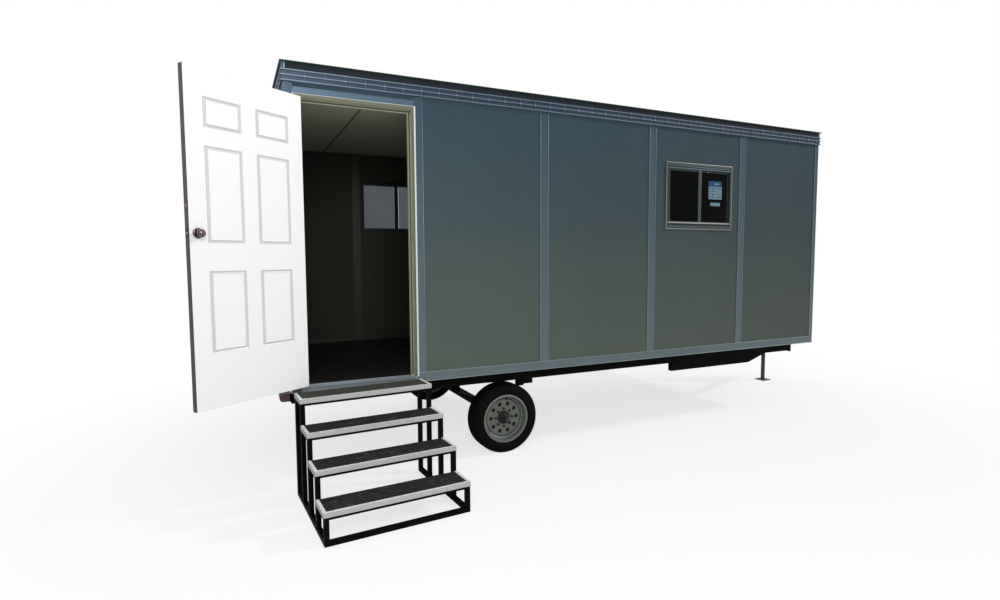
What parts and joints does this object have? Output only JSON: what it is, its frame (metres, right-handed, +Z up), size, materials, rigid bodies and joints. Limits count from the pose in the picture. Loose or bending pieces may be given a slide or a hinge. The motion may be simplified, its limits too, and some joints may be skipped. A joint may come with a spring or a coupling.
{
  "type": "towable site cabin",
  "caption": "Grey panelled site cabin on a towable chassis, with an open white door, a slider window and entry steps.",
  "frame": {"origin": "on the ground, at the middle of the whole outline seen from above, with the door open and the drawbar included", "axes": "+X along the long side towards the drawbar, +Y from the door side to the back, +Z up"},
  "size_m": [7.7466, 3.4554, 3.233],
  "materials": {
    "panel_sheet": "grey-blue coated sheet, lightly oil-canned",
    "mill_aluminium": "mill finish extrusion",
    "ceiling_sheet": "off-white coated sheet",
    "dark_joint": "dark joint strip",
    "roof_membrane": "dark roof covering",
    "floor_board": "dark sheet floor on a board deck",
    "frame_paint": "cream paint",
    "door_paint": "white paint, satin",
    "hinge_steel": "zinc plated",
    "knob_metal": "dark polished",
    "window_glass": "clear pane",
    "chassis_paint": "black paint",
    "coupler_steel": "dark grey paint",
    "tread_board": "dark grey non-slip board",
    "lamp_red": "dark red lens",
    "tyre_rubber": "worn rubber",
    "rim_paint": "silver paint",
    "hub_iron": "bare dark iron with grease"
  },
  "bodies": {
    "cabin": {"axle": "chassis_paint", "axle_mounts": "chassis_paint", "back_panels": "panel_sheet", "back_window_panel": "panel_sheet", "bottom_rails": "mill_aluminium", "corner_posts": "mill_aluminium", "coupler": "coupler_steel", "cross_members": "chassis_paint", "door_frame": "frame_paint", "door_head_panel": "panel_sheet", "door_header": "mill_aluminium", "door_sill": "mill_aluminium", "drawbar_arms": "chassis_paint", "end_panels": "panel_sheet", "floor_deck": "floor_board", "front_panels": "panel_sheet", "front_window_panel": "panel_sheet", "hinge_frame_plates": "hinge_steel", "jack_leg": "coupler_steel", "jack_tube": "coupler_steel", "lapped_beams": "chassis_paint", "leaf_springs": "chassis_paint", "rear_lamps": "lamp_red", "roof_cap": "roof_membrane", "roof_edge_trim": "mill_aluminium", "roof_joints": "dark_joint", "roof_panels": "ceiling_sheet", "side_rails": "chassis_paint", "steps_cross_bars": "chassis_paint", "steps_side_frames": "chassis_paint", "tread_nosings": "mill_aluminium", "treads": "tread_board", "wall_posts": "mill_aluminium", "window_frames": "mill_aluminium", "window_glass": "window_glass"},
    "door": {"door_knobs": "knob_metal", "door_leaf": "door_paint", "hinge_door_plates": "hinge_steel"},
    "wheel_near": {"hub_near": "hub_iron", "rim_near": "rim_paint", "tyre_near": "tyre_rubber"},
    "wheel_far": {"hub_far": "hub_iron", "rim_far": "rim_paint", "tyre_far": "tyre_rubber"}
  },
  "joints": [
    {"name": "door_hinge", "type": "hinge", "parent": "cabin", "child": "door", "pos_m": [-3.14665, -0.75632, 1.897], "axis": [0, 0, 1], "range_deg": [-28.4, 146.6]},
    {"name": "wheel_near_spin", "type": "hinge", "parent": "cabin", "child": "wheel_near", "pos_m": [-1.39865, -0.58832, 0.32], "axis": [0, 1, 0], "continuous": true},
    {"name": "wheel_far_spin", "type": "hinge", "parent": "cabin", "child": "wheel_far", "pos_m": [-1.39865, 1.55968, 0.32], "axis": [0, 1, 0], "continuous": true}
  ]
}
